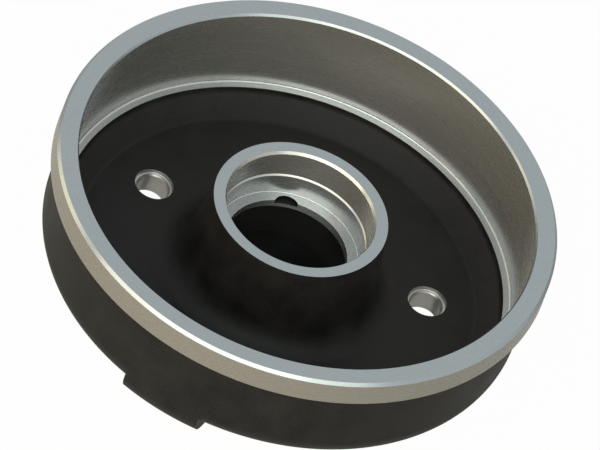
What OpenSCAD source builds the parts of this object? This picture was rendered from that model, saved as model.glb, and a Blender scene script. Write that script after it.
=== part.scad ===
// Trailer wheel hub: one iron casting that joins the bearing hub, the wheel flange and the brake
// drum. It stands on its wheel-side snout with the mouth of the drum upward.
// Millimetres. Z runs up the turning axis, from the end face of the snout.

/* [Brake drum] */
// Diameter of the turned surface that the shoes rub
brake_d = 250; // [230:1:270]
// Depth of that surface, from the mouth face to its foot
brake_depth = 52.6; // [46:0.1:60]
// Width of the flat ledge at the foot of the brake surface, where the boring tool stopped
brake_ledge = 4.1; // [2.6:0.1:6]
// Tool radius between that surface and its ledge
brake_foot_r = 1.3; // [0.6:0.1:2]
// Thickness of the cast drum wall
drum_wall = 5.8; // [4.5:0.1:9]
// How far the turned band stands out from the drum wall
band_lip = 6; // [3:0.1:10]
// Height of the turned band, from the mouth face
band_h = 15.1; // [8:0.1:22]
// Fillet under the turned band
band_fillet = 2.5; // [1:0.1:3]
// Width of the bevel outside the mouth
mouth_outer_bevel = 1.5; // [0.5:0.1:2.5]
// Width of the bevel inside the mouth
mouth_inner_bevel = 0.9; // [0.3:0.1:2]
// Metal behind the foot of the brake surface
drum_back_t = 14.3; // [10:0.1:20]
// Outer corner radius at the back of the drum
drum_corner_r = 14.2; // [8:0.1:18]

/* [Web and wheel flange] */
// How far the web lies below the foot of the brake surface
dish_depth = 12.5; // [8:0.1:18]
// Diameter of the flat floor of the web
dish_d = 217.4; // [204:0.2:226]
// Thickness of the web at the stud holes
web_t = 14.5; // [11:0.1:20]
// Outer diameter of the flat wheel face
wheel_face_d = 207; // [196:1:214]
// Edge radius of the wheel face
wheel_face_edge = 3; // [1:0.1:5]

/* [Stud holes] */
// Number of stud holes
stud_count = 5; // [4:1:6]
// Pitch circle of the studs
stud_pcd = 165.1; // [150:0.1:175]
// Bore for the knurl of a stud
stud_d = 17.4; // [14:0.1:19]
// Turned seat for the stud's head
stud_seat_d = 21; // [19.5:0.1:26]
// Depth of that seat
stud_seat_depth = 2.3; // [1:0.1:4]
// Lead-in bevel of the stud bore
stud_bevel = 1; // [0.3:0.1:1.2]

/* [Bearing hub] */
// How far the hub face lies below the mouth face
hub_set = 14.25; // [8:0.05:22]
// Outer diameter of the hub at its face
hub_d = 95.5; // [92:0.1:102]
// Casting draft of the hub's outside, in degrees
hub_draft = 5.5; // [2:0.1:7]
// Fillet between the hub and the web
hub_fillet = 14.4; // [8:0.1:16]
// Bore for the grease seal
seal_d = 80.6; // [80:0.1:84]
// Depth of the seal bore, from the hub face
seal_len = 16.8; // [12:0.1:20]
// Lead-in height of the seal bore
seal_lead = 1.7; // [0.8:0.1:2.5]
// Bore for the inner bearing's outer ring
inner_cup_d = 79; // [76:0.1:79.6]
// Depth of that bore, from the foot of the seal bore
inner_cup_len = 13.1; // [10:0.1:18]
// Bore through the inner bearing's shoulder
inner_shoulder_d = 66.6; // [62:0.1:69]
// Thickness of that shoulder
inner_shoulder_t = 4.7; // [3:0.1:8]
// Radius in the corner of each bearing seat
seat_corner_r = 0.8; // [0.3:0.1:1.5]
// Cast grease cavity between the bearings
cavity_d = 73; // [70:0.5:76]

/* [Knock-out notches] */
// Number of notches in the inner shoulder
notch_count = 2; // [1:1:3]
// Diameter of each half-round notch
notch_d = 13.4; // [9:0.1:15]
// How far a notch runs outward past the shoulder's bore
notch_reach = 3.9; // [2:0.1:4.5]
// Depth of a notch below the bearing seat
notch_depth = 2.3; // [1.5:0.1:2.8]

/* [Snout on the wheel side] */
// Length of the snout beyond the wheel face
snout_len = 50.4; // [44:0.1:60]
// Outer diameter of the snout at its end
snout_d = 82; // [79:0.5:92]
// Casting draft of the snout, in degrees
snout_draft = 3; // [1:0.1:5]
// Fillet between the snout and the wheel face
snout_fillet = 6; // [3:0.1:9]
// Bore for the outer bearing's outer ring
outer_cup_d = 62; // [58:0.1:63.5]
// Depth of that bore, from the foot of the cap bore
outer_cup_len = 17; // [13:0.1:20]
// Bore through the outer bearing's shoulder
outer_shoulder_d = 53; // [48:0.1:55]
// Thickness of that shoulder
outer_shoulder_t = 5; // [3:0.1:8]
// Bore for the pressed grease cap
cap_d = 65; // [64.5:0.1:70]
// Depth of the cap bore, from the end face
cap_len = 12; // [8:0.1:14]
// Lead-in of the cap bore and bevel round the end face
cap_bevel = 1; // [0.5:0.1:2]

/* [Locating pads] */
// Number of cast pads on the back of the drum
pad_count = 3; // [3:1:6]
// Width of a pad
pad_w = 46; // [30:0.5:56]
// How far a pad stands out from the back of the drum
pad_h = 7.4; // [3:0.1:10]
// Rounding along the sides of a pad's face
pad_edge = 2; // [0.5:0.1:2.8]

/* [Hidden] */
$fn = 180;
eps = 0.5;

brake_r = brake_d / 2;
wall_r = brake_r + drum_wall;
band_r = wall_r + band_lip;
back_depth = brake_depth + drum_back_t;
web_depth = brake_depth + dish_depth;
face_depth = web_depth + web_t;
height = face_depth + snout_len;
corner_r = drum_corner_r;

// The cast corner inside the drum, between the turned ledge and the web's flat floor
foot_r = brake_r - brake_ledge;
foot_drop = 2.6;
foot_in = 0.4;
cast_corner = 3.8;

// The edge where the turned ledge ends and the cast corner starts
foot_edge = [0.3, 0.2];

// How much steeper than 45 degrees the bevels round the mouth are
outer_bevel_rise = 1.2;
inner_bevel_rise = 1.45;

// The flat ring at the back of the drum, inside its rounded corner
back_land = 1.2;

// The grease cavity: the height of the cone at its foot, and the roundings of its corners
cavity_cone = 6;
cavity_foot_r = 12;
cavity_neck_r = 3;
cavity_top_r = 1.5;
web_corner_r = 1.5;

// Width of the seal bore's lead-in against its height
seal_lead_slope = 0.53;

// The stud seat's tool radius, and the bevel where the stud's bore comes out at the wheel face
seat_tool_r = 0.9;
stud_exit = 0.6;

// How far a pad is sunk in the drum's wall
pad_root = 4;
pad_sink = 2;

// The hub's outside meets the web, and the snout's outside the wheel face, after their drafts
hub_root_r = hub_d / 2 + (web_depth - hub_set) * tan(hub_draft);
snout_root_r = snout_d / 2 + snout_len * tan(snout_draft);

// Depths of the steps in the inner end of the bore
seal_foot = hub_set + seal_len;
cup_bevel = (seal_d - inner_cup_d) / 2;
cup_foot = seal_foot + inner_cup_len;
shoulder_foot = cup_foot + inner_shoulder_t;

// Height above the snout's end face of a point at a depth below the mouth face
function up(depth) = height - depth;

function unit(v) = v / norm(v);

// The points of an arc that rounds corner b, between its neighbours a and c
function rounded(a, b, c, r) =
    r <= 0 ? [b] :
    let (
        u = unit(a - b),
        w = unit(c - b),
        half = acos(u * w) / 2,
        centre = b + unit(u + w) * r / sin(half),
        p = b + u * r / tan(half) - centre,
        q = b + w * r / tan(half) - centre,
        from = atan2(p.y, p.x),
        turn = atan2(p.x * q.y - p.y * q.x, p * q),
        n = max(2, ceil(abs(turn) / 11))
    )
    [for (i = [0 : n]) centre + r * [cos(from + turn * i / n), sin(from + turn * i / n)]];

// An outline from corners of the form [radius, height, rounding]
function outline(c) = [
    for (i = [0 : len(c) - 1])
        let (a = c[(i + len(c) - 1) % len(c)], b = c[i], d = c[(i + 1) % len(c)])
        each rounded([a.x, a.y], [b.x, b.y], [d.x, d.y], b.z)
];

// Half of the section through the axis, clockwise from the mouth face
section = [
    [band_r - mouth_outer_bevel, up(0), 0],
    [band_r, up(mouth_outer_bevel * outer_bevel_rise), 0],
    [band_r, up(band_h), 0],
    [wall_r, up(band_h), band_fillet],
    [wall_r, up(back_depth), corner_r],
    [wall_r - corner_r - back_land, up(back_depth), 0],
    [wheel_face_d / 2, up(face_depth), wheel_face_edge],
    [snout_root_r, up(face_depth), snout_fillet],
    [snout_d / 2 + cap_bevel * tan(snout_draft), cap_bevel, 0],
    [snout_d / 2 - cap_bevel, 0, 0],
    [cap_d / 2 + cap_bevel, 0, 0],
    [cap_d / 2, cap_bevel, 0],
    [cap_d / 2, cap_len, 0],
    [outer_cup_d / 2 + cup_bevel, cap_len, 0],
    [outer_cup_d / 2, cap_len + cup_bevel, 0],
    [outer_cup_d / 2, cap_len + outer_cup_len, seat_corner_r],
    [outer_shoulder_d / 2, cap_len + outer_cup_len, 0],
    [outer_shoulder_d / 2, cap_len + outer_cup_len + outer_shoulder_t, cavity_neck_r],
    [cavity_d / 2, up(face_depth) + cavity_cone, cavity_foot_r],
    [cavity_d / 2, up(shoulder_foot), cavity_top_r],
    [inner_shoulder_d / 2, up(shoulder_foot), 0],
    [inner_shoulder_d / 2, up(cup_foot), 0],
    [inner_cup_d / 2, up(cup_foot), seat_corner_r],
    [inner_cup_d / 2, up(seal_foot + cup_bevel), 0],
    [seal_d / 2, up(seal_foot), 0],
    [seal_d / 2, up(hub_set + seal_lead), 0],
    [seal_d / 2 + seal_lead * seal_lead_slope, up(hub_set), 0],
    [hub_d / 2, up(hub_set), 0],
    [hub_root_r, up(web_depth), hub_fillet],
    [dish_d / 2, up(web_depth), web_corner_r],
    [foot_r - foot_in, up(brake_depth + foot_drop), cast_corner],
    [foot_r - foot_edge.x, up(brake_depth + foot_edge.y), 0],
    [foot_r, up(brake_depth), 0],
    [brake_r, up(brake_depth), brake_foot_r],
    [brake_r, up(mouth_inner_bevel * inner_bevel_rise), 0],
    [brake_r + mouth_inner_bevel, up(0), 0]
];

// A pad's section: the drum's back corner again, set out by the pad's height, and sunk into the wall
pad_section = [
    [wall_r, up(back_depth - corner_r), 0],
    [wall_r, up(back_depth + pad_h), corner_r],
    [wheel_face_d / 2 - pad_sink, up(back_depth + pad_h), 0],
    [wheel_face_d / 2 - pad_sink, up(back_depth), 0],
    [wall_r - corner_r, up(back_depth - pad_sink), 0],
    [wall_r - pad_root, up(back_depth - corner_r), 0]
];

// The end view of a pad, looking inward along its radius, with the edges of its face rounded
module pad_front() {
    low = up(back_depth + pad_h);
    high = up(back_depth - corner_r) + eps;
    translate([-pad_w / 2, low + pad_edge])
        square([pad_w, high - low - pad_edge]);
    translate([-pad_w / 2 + pad_edge, low])
        square([pad_w - 2 * pad_edge, high - low]);
    for (side = [-1, 1])
        translate([side * (pad_w / 2 - pad_edge), low + pad_edge])
            circle(r = pad_edge, $fn = 48);
}

module pad() {
    intersection() {
        rotate_extrude() polygon(outline(pad_section));
        translate([wheel_face_d / 2 - pad_root, 0, 0])
            rotate([90, 0, 90])
                linear_extrude(height = wall_r - wheel_face_d / 2 + 2 * pad_root) pad_front();
    }
}

// What is cut away for one stud: the head's seat, with its tool radius, and the bevelled bore
module stud_cut() {
    translate([0, 0, up(web_depth)])
        rotate_extrude($fn = 72)
            polygon(outline([
                [0, eps, 0],
                [stud_seat_d / 2, eps, 0],
                [stud_seat_d / 2, -stud_seat_depth, seat_tool_r],
                [stud_d / 2 + stud_bevel, -stud_seat_depth, 0],
                [stud_d / 2, -stud_seat_depth - stud_bevel, 0],
                [stud_d / 2, -web_t + stud_exit, 0],
                [stud_d / 2 + stud_exit + eps, -web_t - eps, 0],
                [0, -web_t - eps, 0]
            ]));
}

// A shallow half-round pocket in the bearing's shoulder, where a punch reaches the outer ring
module notch_cut() {
    translate([inner_shoulder_d / 2 + notch_reach - notch_d / 2, 0, up(cup_foot + notch_depth)])
        cylinder(d = notch_d, h = notch_depth + eps, $fn = 72);
}

module hub_drum() {
    color([0.16, 0.16, 0.155])
        difference() {
            union() {
                rotate_extrude() polygon(outline(section));
                for (i = [0 : pad_count - 1])
                    rotate(i * 360 / pad_count) pad();
            }
            for (i = [0 : stud_count - 1])
                rotate(i * 360 / stud_count)
                    translate([stud_pcd / 2, 0, 0]) stud_cut();
            for (i = [0 : notch_count - 1])
                rotate(90 + i * 360 / notch_count) notch_cut();
        }
}

hub_drum();
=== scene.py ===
import math

import bmesh
import bpy
from mathutils import Matrix, Vector


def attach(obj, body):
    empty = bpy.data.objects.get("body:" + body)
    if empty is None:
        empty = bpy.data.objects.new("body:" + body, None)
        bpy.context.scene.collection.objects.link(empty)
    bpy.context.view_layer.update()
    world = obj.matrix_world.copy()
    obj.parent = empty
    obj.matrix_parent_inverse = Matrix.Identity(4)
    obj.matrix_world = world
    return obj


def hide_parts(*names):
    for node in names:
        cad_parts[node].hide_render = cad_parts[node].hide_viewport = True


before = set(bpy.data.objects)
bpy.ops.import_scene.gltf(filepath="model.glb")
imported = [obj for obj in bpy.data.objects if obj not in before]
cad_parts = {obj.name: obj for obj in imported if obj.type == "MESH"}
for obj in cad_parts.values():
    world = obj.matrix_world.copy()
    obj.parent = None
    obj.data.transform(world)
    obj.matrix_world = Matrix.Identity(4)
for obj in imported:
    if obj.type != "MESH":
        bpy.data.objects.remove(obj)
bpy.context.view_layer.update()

# Camera: the photograph's view, from above the near rim, with the object turned clockwise.
# The photograph's lines are parallel, so this camera is a parallel one.
# Its frame is 317.1 mm wide, and it looks at a point in the plane of the drum's mouth.
FRAME_WIDTH = 0.31706
AIM = Vector((-0.00438, -0.02542, 0.130))
CAMERA_DISTANCE = 2.0
VIEW_AZIMUTH = math.radians(-15.22)
VIEW_ELEVATION = math.radians(44.557)
VIEW_ROLL = math.radians(21.255)

level = Vector((math.cos(VIEW_AZIMUTH), math.sin(VIEW_AZIMUTH), 0))
back = Vector((
    level.y * math.cos(VIEW_ELEVATION), -level.x * math.cos(VIEW_ELEVATION), math.sin(VIEW_ELEVATION)))
rise = back.cross(level)
camera_right = math.cos(VIEW_ROLL) * level + math.sin(VIEW_ROLL) * rise
camera_up = math.cos(VIEW_ROLL) * rise - math.sin(VIEW_ROLL) * level

camera = bpy.data.objects.new("camera", bpy.data.cameras.new("camera"))
camera.data.type = "ORTHO"
camera.data.ortho_scale = FRAME_WIDTH
turn = Matrix((camera_right, camera_up, back)).transposed().to_4x4()
camera.matrix_world = Matrix.Translation(AIM + back * CAMERA_DISTANCE) @ turn
bpy.context.scene.collection.objects.link(camera)
bpy.context.scene.camera = camera
bpy.context.scene.view_settings.view_transform = "Standard"


# Casting: the hub, the wheel flange and the brake drum in one.
# Grey iron, poured in sand, then turned on its working faces and dipped in black paint elsewhere.
# Its section through the axis is drawn with sharp corners, rounded, and swept right round.
MM = 0.001
STEPS_ROUND = 360
HEIGHT = 130.0
# Drum in mm: radii, depths below the mouth face, bevels and roundings
BRAKE_R = 125.0
BRAKE_DEPTH = 52.6
MOUTH_BEVEL = 0.9
MOUTH_BEVEL_DEPTH = 1.3
BAND_R = 136.8
BAND_HEIGHT = 15.1
RIM_BEVEL = 1.5
RIM_BEVEL_DEPTH = 1.8
WALL_R = 130.8
BACK_DEPTH = 66.9
DRUM_CORNER = 14.2
BACK_FLAT = 1.2
# Foot of the brake surface: a flat ledge with a small tool radius, and the cast corner inside it
FOOT_R = 120.9
FOOT_TOOL_R = 1.3
LEDGE_EDGE = 0.3
LEDGE_LIP = 0.2
CAST_CORNER = 3.8
CAST_CORNER_DROP = 2.6
# Web, wheel face and snout
WEB_DEPTH = 65.1
WEB_FLOOR_R = 108.7
FACE_DEPTH = 79.6
WHEEL_FACE_R = 103.5
SNOUT_ROOT_R = 43.64
SNOUT_FILLET = 6.0
SNOUT_R = 41.0
SNOUT_BEVEL = 1.0
# Hub, and the bore from the mouth's side: seal, inner bearing, shoulder and grease cavity
HUB_DEPTH = 14.25
HUB_R = 47.75
HUB_ROOT_R = 52.65
HUB_FILLET = 14.4
SEAL_R = 40.3
SEAL_FOOT = 31.05
SEAL_LEAD = 1.05
SEAL_LEAD_DEPTH = 1.55
CUP_R = 39.5
CUP_FOOT = 44.15
CUP_LEAD = 0.8
CUP_CORNER = 0.8
SHOULDER_R = 33.3
SHOULDER_FOOT = 48.85
CAVITY_R = 36.5
CAVITY_CURVE = 12.0
CAVITY_RISE = 6.0
# Bore from the snout's end: cap, outer bearing and its shoulder, in heights above that end
CAP_R = 32.5
CAP_DEPTH = 12.0
OUTER_CUP_R = 31.0
OUTER_CUP_FOOT = 29.0
OUTER_SHOULDER_R = 26.5
OUTER_SHOULDER_FOOT = 34.0
# A turned edge is broken by a file, so it has a small rounding
FILED_EDGE = 0.1


def up(depth):
    """Height above the snout's end face of a point at a depth below the mouth face."""
    return HEIGHT - depth


# Corners of the section in mm: radius, height, rounding
body_corners = [
    (BAND_R - RIM_BEVEL, up(0), 0.12),
    (BAND_R, up(RIM_BEVEL_DEPTH), 0.12),
    (BAND_R, up(BAND_HEIGHT), 0.25),
    (WALL_R, up(BAND_HEIGHT), 2.5),
    (WALL_R, up(BACK_DEPTH), DRUM_CORNER),
    (WALL_R - DRUM_CORNER - BACK_FLAT, up(BACK_DEPTH), 3.0),
    (WHEEL_FACE_R, up(FACE_DEPTH), 3.0),
    (SNOUT_ROOT_R, up(FACE_DEPTH), SNOUT_FILLET),
    (SNOUT_R + 0.05, SNOUT_BEVEL, FILED_EDGE),
    (SNOUT_R - SNOUT_BEVEL, 0, FILED_EDGE),
    (CAP_R + SNOUT_BEVEL, 0, FILED_EDGE),
    (CAP_R, SNOUT_BEVEL, FILED_EDGE),
    (CAP_R, CAP_DEPTH, FILED_EDGE),
    (OUTER_CUP_R + CUP_LEAD, CAP_DEPTH, FILED_EDGE),
    (OUTER_CUP_R, CAP_DEPTH + CUP_LEAD, FILED_EDGE),
    (OUTER_CUP_R, OUTER_CUP_FOOT, CUP_CORNER),
    (OUTER_SHOULDER_R, OUTER_CUP_FOOT, 0.2),
    (OUTER_SHOULDER_R, OUTER_SHOULDER_FOOT, 3.0),
    (CAVITY_R, up(FACE_DEPTH) + CAVITY_RISE, CAVITY_CURVE),
    (CAVITY_R, up(SHOULDER_FOOT), 1.5),
    (SHOULDER_R, up(SHOULDER_FOOT), 0.3),
    (SHOULDER_R, up(CUP_FOOT), 0.15),
    (CUP_R, up(CUP_FOOT), CUP_CORNER),
    (CUP_R, up(SEAL_FOOT + CUP_LEAD), FILED_EDGE),
    (SEAL_R, up(SEAL_FOOT), FILED_EDGE),
    (SEAL_R, up(HUB_DEPTH + SEAL_LEAD_DEPTH), 0.15),
    (SEAL_R + SEAL_LEAD, up(HUB_DEPTH), FILED_EDGE),
    (HUB_R, up(HUB_DEPTH), 0.2),
    (HUB_ROOT_R, up(WEB_DEPTH), HUB_FILLET),
    (WEB_FLOOR_R, up(WEB_DEPTH), 4.0),
    (FOOT_R - 0.4, up(BRAKE_DEPTH + CAST_CORNER_DROP), CAST_CORNER),
    (FOOT_R - LEDGE_EDGE, up(BRAKE_DEPTH + LEDGE_LIP), 0.08),
    (FOOT_R, up(BRAKE_DEPTH), 0.08),
    (BRAKE_R, up(BRAKE_DEPTH), FOOT_TOOL_R),
    (BRAKE_R, up(MOUTH_BEVEL_DEPTH), FILED_EDGE),
    (BRAKE_R + MOUTH_BEVEL, up(0), FILED_EDGE),
]

# Degrees that one facet of a rounding may turn, on large and on small roundings
LARGE_ROUNDING = 1.0
LARGE_FACET = 7
SMALL_FACET = 22


def rounded_section(bm, corners):
    """Draws a flat face in the XZ plane, from corners in mm, and rounds each by its own radius."""
    verts = [bm.verts.new((r * MM, 0, z * MM)) for r, z, _ in corners]
    bm.faces.new(verts)
    for vert, (_, _, radius) in zip(verts, corners):
        if not radius:
            continue
        one, other = (edge.other_vert(vert).co - vert.co for edge in vert.link_edges)
        opening = one.angle(other)
        facet = LARGE_FACET if radius > LARGE_ROUNDING else SMALL_FACET
        bmesh.ops.bevel(
            bm, geom=[vert], affect="VERTICES", offset=radius * MM / math.tan(opening / 2),
            offset_type="OFFSET", segments=max(2, math.ceil(math.degrees(math.pi - opening) / facet)),
            profile=0.5, material=-1, clamp_overlap=False,
        )
    bmesh.ops.delete(bm, geom=bm.faces[:], context="FACES_ONLY")


def linear(colour):
    """Turns an sRGB colour, written in hex, to linear."""
    channels = [int(colour[i:i + 2], 16) / 255 for i in (0, 2, 4)]
    return [c / 12.92 if c <= 0.04045 else ((c + 0.055) / 1.055) ** 2.4 for c in channels] + [1.0]


def add(tree, kind, inputs=None, **settings):
    """Adds a node with its settings, and sets or links its inputs."""
    node = tree.nodes.new(kind)
    for name, value in settings.items():
        setattr(node, name, value)
    for socket, value in (inputs or {}).items():
        if isinstance(value, bpy.types.NodeSocket):
            tree.links.new(value, node.inputs[socket])
        else:
            node.inputs[socket].default_value = value
    return node


# Black dip paint over sand-cast iron: a matt film that follows the sand's grain.
# The grain is near 0.3 mm on a casting, and it is drawn near 0.8 mm, as coarse as it needs to show.
# The film also ran a little as it dried, in soft ripples near 17 mm apart.
GRAIN = 0.8 * MM
RIPPLES_PER_METRE = 60.0
black_skin = bpy.data.materials.new("dip_painted_sand_cast_iron")
black_skin.use_nodes = True
tree = black_skin.node_tree
tree.nodes.clear()
place = add(tree, "ShaderNodeTexCoord").outputs["Object"]
grain = add(tree, "ShaderNodeTexNoise", {
    "Vector": place, "Scale": 1 / GRAIN, "Detail": 2.0, "Roughness": 0.6})
pour = add(tree, "ShaderNodeTexNoise", {
    "Vector": place, "Scale": RIPPLES_PER_METRE, "Detail": 3.0, "Roughness": 0.5})
both = add(tree, "ShaderNodeMath", {0: grain.outputs["Fac"], 1: pour.outputs["Fac"]}, operation="ADD")
mean = add(tree, "ShaderNodeMath", {0: both.outputs["Value"], 1: 0.5}, operation="MULTIPLY")
tone = add(tree, "ShaderNodeValToRGB", {"Fac": mean.outputs["Value"]})
tone.color_ramp.elements[0].position = 0.35
tone.color_ramp.elements[0].color = linear("100f0e")
tone.color_ramp.elements[1].position = 0.65
tone.color_ramp.elements[1].color = linear("282726")
sheen = add(tree, "ShaderNodeMapRange", {
    "Value": pour.outputs["Fac"], "From Min": 0.3, "From Max": 0.7, "To Min": 0.48, "To Max": 0.6})
swell = add(tree, "ShaderNodeBump", {
    "Height": pour.outputs["Fac"], "Strength": 0.1, "Distance": 0.4 * MM})
bump = add(tree, "ShaderNodeBump", {
    "Height": grain.outputs["Fac"], "Strength": 0.35, "Distance": 0.15 * MM,
    "Normal": swell.outputs["Normal"]})
skin = add(tree, "ShaderNodeBsdfPrincipled", {
    "Base Color": tone.outputs["Color"], "Roughness": sheen.outputs["Result"],
    "Normal": bump.outputs["Normal"], "Specular IOR Level": 0.2})
add(tree, "ShaderNodeOutputMaterial", {"Surface": skin.outputs["BSDF"]})

# Bare grey iron: a satin metal with a dull body, from the graphite in it.
# The tool's feed is 0.25 mm a turn, and its rings are drawn near 2 mm wide, so that they show.
# The graphite's flakes are near 0.1 mm, and they are drawn near 0.8 mm for the same reason.
RING_WIDTH = 2.0 * MM
FLAKE = 0.8 * MM
CLOUDS_PER_METRE = 35.0
FLAKE_SHARE = 0.6


def cut_iron(name, dark, light, metallic, smooth, rough):
    """Bare iron between two greys and two roughnesses, in tool rings, flakes and slow clouds."""
    material = bpy.data.materials.new(name)
    material.use_nodes = True
    tree = material.node_tree
    tree.nodes.clear()
    place = add(tree, "ShaderNodeTexCoord").outputs["Object"]
    apart = add(tree, "ShaderNodeSeparateXYZ", {"Vector": place})
    flat = add(tree, "ShaderNodeCombineXYZ", {"X": apart.outputs["X"], "Y": apart.outputs["Y"]})
    radius = add(tree, "ShaderNodeVectorMath", {"Vector": flat.outputs["Vector"]}, operation="LENGTH")
    across = add(tree, "ShaderNodeCombineXYZ", {"X": radius.outputs["Value"], "Y": apart.outputs["Z"]})
    rings = add(tree, "ShaderNodeTexNoise", {
        "Vector": across.outputs["Vector"], "Scale": 1 / RING_WIDTH, "Detail": 1.0})
    cloud = add(tree, "ShaderNodeTexNoise", {
        "Vector": place, "Scale": CLOUDS_PER_METRE, "Detail": 4.0, "Roughness": 0.6})
    flakes = add(tree, "ShaderNodeTexNoise", {"Vector": place, "Scale": 1 / FLAKE, "Detail": 1.0})
    both = add(tree, "ShaderNodeMath", {0: rings.outputs["Fac"], 1: cloud.outputs["Fac"]}, operation="ADD")
    mean = add(tree, "ShaderNodeMath", {0: both.outputs["Value"], 1: 0.5}, operation="MULTIPLY")
    every = add(tree, "ShaderNodeMix", {
        "Factor": FLAKE_SHARE, "A": mean.outputs["Value"], "B": flakes.outputs["Fac"]}, data_type="FLOAT")
    tone = add(tree, "ShaderNodeValToRGB", {"Fac": every.outputs["Result"]})
    tone.color_ramp.elements[0].position = 0.3
    tone.color_ramp.elements[0].color = linear(dark)
    tone.color_ramp.elements[1].position = 0.7
    tone.color_ramp.elements[1].color = linear(light)
    satin = add(tree, "ShaderNodeMapRange", {
        "Value": both.outputs["Value"], "From Min": 0.7, "From Max": 1.3, "To Min": smooth, "To Max": rough})
    metal = add(tree, "ShaderNodeBsdfPrincipled", {
        "Base Color": tone.outputs["Color"], "Metallic": metallic, "Roughness": satin.outputs["Result"]})
    add(tree, "ShaderNodeOutputMaterial", {"Surface": metal.outputs["BSDF"]})
    return material


# Faced: the mouth, the hub's end, the wheel face and the snout's end, blue grey iron; the blue tint is
# painted reflection of cool overhead light on the up-facing faces
faced_iron_cool_tint = cut_iron("faced_grey_iron_painted_cool_tint", "969fa2", "9ea7aa", 0.83, 0.25, 0.29)
# Bored: the brake surface and the bores, the same iron painted brighter, as painted light for inner surfaces
# that sit in the drum's shade
bored_iron_painted_light = cut_iron("bored_grey_iron_painted_light", "b3b4b1", "b9bab7", 0.72, 0.25, 0.29)
# The rim's outer band: duller iron, whose warm tint is painted reflection of the warm floor and low lamps
band_iron_painted_warm = cut_iron("turned_grey_iron_painted_warm", "94918b", "9c9993", 0.5, 0.25, 0.29)
# The brake surface's foot and the inner bearing's seat, deep in shade: the same iron painted brightest, as
# painted light
seat_iron_painted_light = cut_iron("seat_grey_iron_painted_light", "b5b9b9", "bbbfbf", 0.8, 0.25, 0.29)
SKIN, FACED, BORED, BAND, SEAT = range(5)
body_materials = [black_skin, faced_iron_cool_tint, bored_iron_painted_light, band_iron_painted_warm, seat_iron_painted_light]

# Where the casting is cut bare, first match first: finish, least and greatest radius and depth in mm.
# Each reaches a little past the surface that it is for, and never to the next one.
ABOVE = -1.0
BELOW = HEIGHT + 1.0
OUTSIDE = BAND_R + 1.0
bare_zones = [
    (BAND, BAND_R - 0.3, OUTSIDE, RIM_BEVEL_DEPTH + 0.1, BELOW),
    (FACED, BRAKE_R - 0.1, OUTSIDE, ABOVE, MOUTH_BEVEL_DEPTH + 0.01),
    (FACED, BAND_R - RIM_BEVEL - 0.1, OUTSIDE, ABOVE, BELOW),
    (SEAT, FOOT_R - 0.1, BRAKE_R + 0.1, BRAKE_DEPTH - FOOT_TOOL_R, BRAKE_DEPTH + 0.02),
    (BORED, FOOT_R - 0.1, BRAKE_R + 0.1, ABOVE, BRAKE_DEPTH - FOOT_TOOL_R),
    (FACED, SEAL_R + SEAL_LEAD, HUB_R - 0.05, HUB_DEPTH - 0.3, HUB_DEPTH + 0.3),
    (SEAT, 0, SEAL_R + 1.1, SEAL_FOOT + CUP_LEAD, SHOULDER_FOOT - 0.05),
    (BORED, 0, SEAL_R + 1.1, ABOVE, SEAL_FOOT + CUP_LEAD),
    (FACED, CAP_R + 0.9, SNOUT_R + 0.1, HEIGHT - SNOUT_BEVEL - 0.05, BELOW),
    (BORED, 0, CAP_R + 1.2, HEIGHT - OUTER_SHOULDER_FOOT + 1.0, BELOW),
    (FACED, SNOUT_ROOT_R, WHEEL_FACE_R, FACE_DEPTH - 0.01, FACE_DEPTH + 0.01),
]


def finish_of(face):
    """Which finish a face of the casting has, from its radius and its depth below the mouth."""
    centre = face.calc_center_median()
    r = math.hypot(centre.x, centre.y) / MM
    depth = HEIGHT - centre.z / MM
    for finish, inner, outer, top, bottom in bare_zones:
        if inner < r < outer and top < depth < bottom:
            return finish
    return SKIN


body = bmesh.new()
rounded_section(body, body_corners)
bmesh.ops.spin(
    body, geom=body.verts[:] + body.edges[:], cent=(0, 0, 0), axis=(0, 0, 1), dvec=(0, 0, 0),
    angle=math.tau, steps=STEPS_ROUND, use_merge=True,
)
bmesh.ops.recalc_face_normals(body, faces=body.faces[:])
for face in body.faces:
    face.material_index = finish_of(face)
    face.smooth = True


def as_object(bm, name, materials):
    """Turns a bmesh into an object with its materials."""
    mesh = bpy.data.meshes.new(name)
    bm.to_mesh(mesh)
    bm.free()
    for material in materials:
        mesh.materials.append(material)
    made = bpy.data.objects.new(name, mesh)
    bpy.context.scene.collection.objects.link(made)
    return made


casting = as_object(body, "hub_casting", body_materials)


# Locating pads: three cast blocks on the back of the drum, one in line with a stud hole.
# Part of the same casting and as-cast, with rounded edges. They rise from the back of the drum,
# so each reaches a few millimetres into it before they are joined.
PAD_COUNT = 3
PAD_WIDTH = 46.0
PAD_HEIGHT = 7.4
PAD_EDGE = 4.2
PAD_EDGE_FACETS = 8
PAD_SWEEP = math.radians(34)
PAD_STEPS = 34
PAD_SINK = 4.0
PAD_LAP = 2.0
PAD_INSET = 0.02
# How near a corner has to be to a plane, or to another corner, to count as on it, in metres
ON_PLANE = 1e-6
SAME_PLACE = 1e-7
pad_low = up(BACK_DEPTH + PAD_HEIGHT)
pad_top = up(BACK_DEPTH - DRUM_CORNER) + PAD_LAP
pad_corners = [
    (WALL_R - PAD_INSET, pad_top, 0),
    (WALL_R - PAD_INSET, pad_low, DRUM_CORNER),
    (WHEEL_FACE_R - PAD_LAP, pad_low, 0),
    (WHEEL_FACE_R - PAD_LAP, up(BACK_DEPTH), 0),
    (WALL_R - DRUM_CORNER, up(BACK_DEPTH - PAD_LAP), 0),
    (WALL_R - PAD_SINK, up(BACK_DEPTH - DRUM_CORNER), 0),
    (WALL_R - PAD_SINK, pad_top, 0),
]
pads = bmesh.new()
rounded_section(pads, pad_corners)
bmesh.ops.rotate(
    pads, verts=pads.verts[:], cent=(0, 0, 0), matrix=Matrix.Rotation(-PAD_SWEEP / 2, 3, "Z"))
bmesh.ops.spin(
    pads, geom=pads.verts[:] + pads.edges[:], cent=(0, 0, 0), axis=(0, 0, 1), dvec=(0, 0, 0),
    angle=PAD_SWEEP, steps=PAD_STEPS,
)
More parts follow.
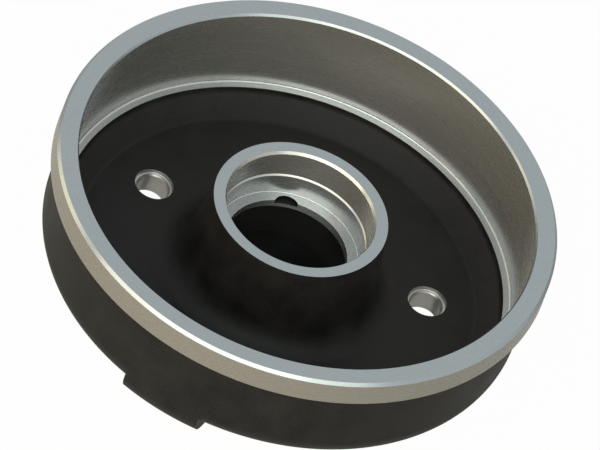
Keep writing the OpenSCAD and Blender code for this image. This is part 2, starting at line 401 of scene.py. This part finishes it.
for side in (-1, 1):
    side_y = side * PAD_WIDTH / 2 * MM
    bmesh.ops.bisect_plane(
        pads, geom=pads.verts[:] + pads.edges[:] + pads.faces[:], dist=SAME_PLACE,
        plane_co=(0, side_y, 0), plane_no=(0, side, 0), clear_outer=True,
    )
    rim = [
        e for e in pads.edges
        if e.is_boundary and all(abs(v.co.y - side_y) < ON_PLANE for v in e.verts)
    ]
    bmesh.ops.holes_fill(pads, edges=rim, sides=0)
bmesh.ops.recalc_face_normals(pads, faces=pads.faces[:])


def is_flank(face):
    """A pad's flat side."""
    return abs(face.normal.y) > 0.999


def is_outer(face):
    """A pad's face towards the wheel or away from the axis."""
    normal = face.normal
    outward = math.hypot(normal.x, normal.y) > 0.9 and abs(normal.y) < 0.5 and normal.x > 0
    return normal.z < -0.2 or outward


flank_edges = [
    e for e in pads.edges
    if len(e.link_faces) == 2 and any(map(is_flank, e.link_faces)) and any(map(is_outer, e.link_faces))
]
bmesh.ops.bevel(
    pads, geom=flank_edges, affect="EDGES", offset=PAD_EDGE * MM, offset_type="OFFSET",
    segments=PAD_EDGE_FACETS, profile=0.5, material=-1, clamp_overlap=True,
)


def ring_of(bm, count):
    """Repeats the whole of a bmesh at equal steps round the axis, smooth and facing outwards."""
    bmesh.ops.spin(
        bm, geom=bm.verts[:] + bm.edges[:] + bm.faces[:], cent=(0, 0, 0), axis=(0, 0, 1),
        dvec=(0, 0, 0), angle=math.tau * (count - 1) / count, steps=count - 1, use_duplicate=True,
    )
    bmesh.ops.recalc_face_normals(bm, faces=bm.faces[:])
    for face in bm.faces:
        face.smooth = True


ring_of(pads, PAD_COUNT)
pad_blocks = as_object(pads, "pad_blocks", [black_skin])

# Corners this close together after a join or a cut are one corner, in metres
WELD_GAP = 5e-7


def combine(target, tool, operation):
    """Joins a tool solid to the target, or cuts it away, welds the seam, and removes the tool."""
    modifier = target.modifiers.new("combine", "BOOLEAN")
    modifier.solver = "EXACT"
    modifier.operation = operation
    modifier.material_mode = "TRANSFER"
    modifier.object = tool
    graph = bpy.context.evaluated_depsgraph_get()
    mesh = bpy.data.meshes.new_from_object(target.evaluated_get(graph))
    target.modifiers.clear()
    welded = bmesh.new()
    welded.from_mesh(mesh)
    bmesh.ops.remove_doubles(welded, verts=welded.verts[:], dist=WELD_GAP)
    welded.to_mesh(mesh)
    welded.free()
    old = target.data
    target.data = mesh
    bpy.data.meshes.remove(old)
    bpy.data.objects.remove(tool)


combine(casting, pad_blocks, "UNION")


# Stud holes: five bores for press-in studs, each with a turned seat for the stud's head.
# Drilled, reamed and counterbored through the painted web, so they are bare grey iron.
# Their surface is a little coarser than a turned one, so it is softer to the eye.
STUD_COUNT = 5
STUD_CIRCLE_R = 82.55
STUD_R = 8.7
STUD_BEVEL = 0.6
STUD_BEVEL_DEPTH = 0.8
STUD_EXIT = 0.15
STUD_STEPS = 96
SEAT_R = 10.5
SEAT_DEPTH = 2.3
SEAT_TOOL_R = 0.75
WEB_THICKNESS = 14.5
PAST = 1.0
reamed_iron = cut_iron("reamed_grey_iron", "a8a8a7", "b1b1b0", 0.75, 0.3, 0.35)
stud_corners = [
    (0, PAST, 0),
    (SEAT_R, PAST, 0),
    (SEAT_R, -SEAT_DEPTH, SEAT_TOOL_R),
    (STUD_R + STUD_BEVEL, -SEAT_DEPTH, 0.12),
    (STUD_R, -SEAT_DEPTH - STUD_BEVEL_DEPTH, 0.12),
    (STUD_R, -WEB_THICKNESS + STUD_EXIT, 0),
    (STUD_R + STUD_EXIT + PAST, -WEB_THICKNESS - PAST, 0),
    (0, -WEB_THICKNESS - PAST, 0),
]
studs = bmesh.new()
rounded_section(studs, stud_corners)
on_axis = [e for e in studs.edges if all(v.co.x < SAME_PLACE for v in e.verts)]
bmesh.ops.delete(studs, geom=on_axis, context="EDGES")
bmesh.ops.spin(
    studs, geom=studs.verts[:] + studs.edges[:], cent=(0, 0, 0), axis=(0, 0, 1), dvec=(0, 0, 0),
    angle=math.tau, steps=STUD_STEPS, use_merge=True,
)
bmesh.ops.remove_doubles(studs, verts=studs.verts[:], dist=SAME_PLACE)
bmesh.ops.translate(studs, verts=studs.verts[:], vec=(STUD_CIRCLE_R * MM, 0, up(WEB_DEPTH) * MM))
ring_of(studs, STUD_COUNT)
stud_cuts = as_object(studs, "stud_cuts", [reamed_iron])
combine(casting, stud_cuts, "DIFFERENCE")


# Knock-out notches: two half-round pockets in the inner bearing's shoulder.
# Cast in, so they are painted inside. A punch reaches the bearing's outer ring through them.
NOTCH_COUNT = 2
NOTCH_R = 6.7
NOTCH_REACH = 3.9
NOTCH_DEPTH = 2.3
NOTCH_PAST = 0.5
NOTCH_STEPS = 72
notch_tall = NOTCH_DEPTH + NOTCH_PAST
notches = bmesh.new()
bmesh.ops.create_cone(
    notches, cap_ends=True, segments=NOTCH_STEPS, radius1=NOTCH_R * MM, radius2=NOTCH_R * MM,
    depth=notch_tall * MM,
)
bmesh.ops.translate(notches, verts=notches.verts[:], vec=(
    0, (SHOULDER_R + NOTCH_REACH - NOTCH_R) * MM, (up(CUP_FOOT + NOTCH_DEPTH) + notch_tall / 2) * MM))
ring_of(notches, NOTCH_COUNT)
notch_cuts = as_object(notches, "notch_cuts", [black_skin])
combine(casting, notch_cuts, "DIFFERENCE")

SHARP_EDGE = math.radians(28)
casting.data.set_sharp_from_angle(angle=SHARP_EDGE)
weighted = casting.modifiers.new("weighted", "WEIGHTED_NORMAL")
weighted.keep_sharp = True
weighted.weight = 100
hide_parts("hub_drum")
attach(casting, "root")


# Floor: a plain pale paper sweep that the snout stands on, wide enough to reach the horizon.
# It looks white in the picture and pale in the metal, and it still takes the object's shadow.
FLOOR_R = 12.0
FLOOR_SIDES = 96
WHITE_IN_PICTURE = 0.98
WHITE_IN_METAL = 0.3
floor_shape = bmesh.new()
bmesh.ops.create_circle(floor_shape, cap_ends=True, segments=FLOOR_SIDES, radius=FLOOR_R)
floor = as_object(floor_shape, "floor", [])
paper = bpy.data.materials.new("white_paper_sweep")
paper.use_nodes = True
tree = paper.node_tree
tree.nodes.clear()


def looked_at(tree, path):
    """1 for what the camera, a reflection or glass sees, and 0 for what only lights the object."""
    seen = add(tree, "ShaderNodeMath", {
        0: path.outputs["Is Camera Ray"], 1: path.outputs["Is Glossy Ray"]}, operation="MAXIMUM")
    seen = add(tree, "ShaderNodeMath", {
        0: seen.outputs["Value"], 1: path.outputs["Is Transmission Ray"]}, operation="MAXIMUM")
    return seen.outputs["Value"]


path = add(tree, "ShaderNodeLightPath")
share = add(tree, "ShaderNodeMapRange", {
    "Value": path.outputs["Is Camera Ray"], "To Min": WHITE_IN_METAL, "To Max": WHITE_IN_PICTURE})
share = add(tree, "ShaderNodeMath", {
    0: looked_at(tree, path), 1: share.outputs["Result"]}, operation="MULTIPLY")
matt = add(tree, "ShaderNodeBsdfDiffuse", {"Color": linear("f8f5ee")})
white = add(tree, "ShaderNodeEmission", {"Color": (1, 1, 1, 1), "Strength": 1.0})
mix = add(tree, "ShaderNodeMixShader", {
    0: share.outputs["Value"], 1: matt.outputs["BSDF"], 2: white.outputs["Emission"]})
add(tree, "ShaderNodeOutputMaterial", {"Surface": mix.outputs["Shader"]})
floor.data.materials.append(paper)


# Light: a dim room that looks white, and six soft lamps, none of them in the picture.
# The key is behind the camera. Three warm lamps stand to its left, two of them low,
# a weak one stands to its right, and a cool one hangs overhead.
world = bpy.data.worlds.new("room")
bpy.context.scene.world = world
world.use_nodes = True
tree = world.node_tree
tree.nodes.clear()
path = add(tree, "ShaderNodeLightPath")
room = add(tree, "ShaderNodeBackground", {"Color": (0.93, 0.97, 1.0, 1), "Strength": 0.05})
white = add(tree, "ShaderNodeBackground", {"Color": (1, 1, 1, 1), "Strength": 1.0})
mix = add(tree, "ShaderNodeMixShader", {
    0: looked_at(tree, path), 1: room.outputs["Background"], 2: white.outputs["Background"]})
add(tree, "ShaderNodeOutputWorld", {"Surface": mix.outputs["Shader"]})

LAMP_DISTANCE = 3.0
LAMP_AIM = Vector((0, 0, 0.09))
# Name, azimuth and elevation in degrees, width and height in metres, radiance, colour
lamps = [
    ("low_left", 155, 14, 1.9, 0.9, 1.8, "ffe7a8"),
    ("low_front", 212, 8, 3.0, 0.75, 3.0, "ffedbf"),
    ("key", 247, 34, 3.0, 1.9, 2.7, "fff3e2"),
    ("left_fill", 202, 26, 1.6, 1.4, 2.4, "ffe6c9"),
    ("right_fill", 290, 31, 1.6, 1.9, 1.5, "fffde6"),
    ("high", 250, 68, 2.8, 1.2, 1.3, "acedff"),
]
for name, azimuth, elevation, width, tall, radiance, colour in lamps:
    lamp = bpy.data.lights.new(name, "AREA")
    lamp.shape = "RECTANGLE"
    lamp.size = width
    lamp.size_y = tall
    lamp.energy = radiance * math.pi * width * tall
    lamp.color = linear(colour)[:3]
    stand = bpy.data.objects.new(name, lamp)
    a, e = math.radians(azimuth), math.radians(elevation)
    outward = Vector((math.cos(e) * math.cos(a), math.cos(e) * math.sin(a), math.sin(e)))
    stand.location = LAMP_AIM + outward * LAMP_DISTANCE
    stand.rotation_euler = outward.to_track_quat("Z", "Y").to_euler()
    stand.visible_camera = False
    bpy.context.scene.collection.objects.link(stand)
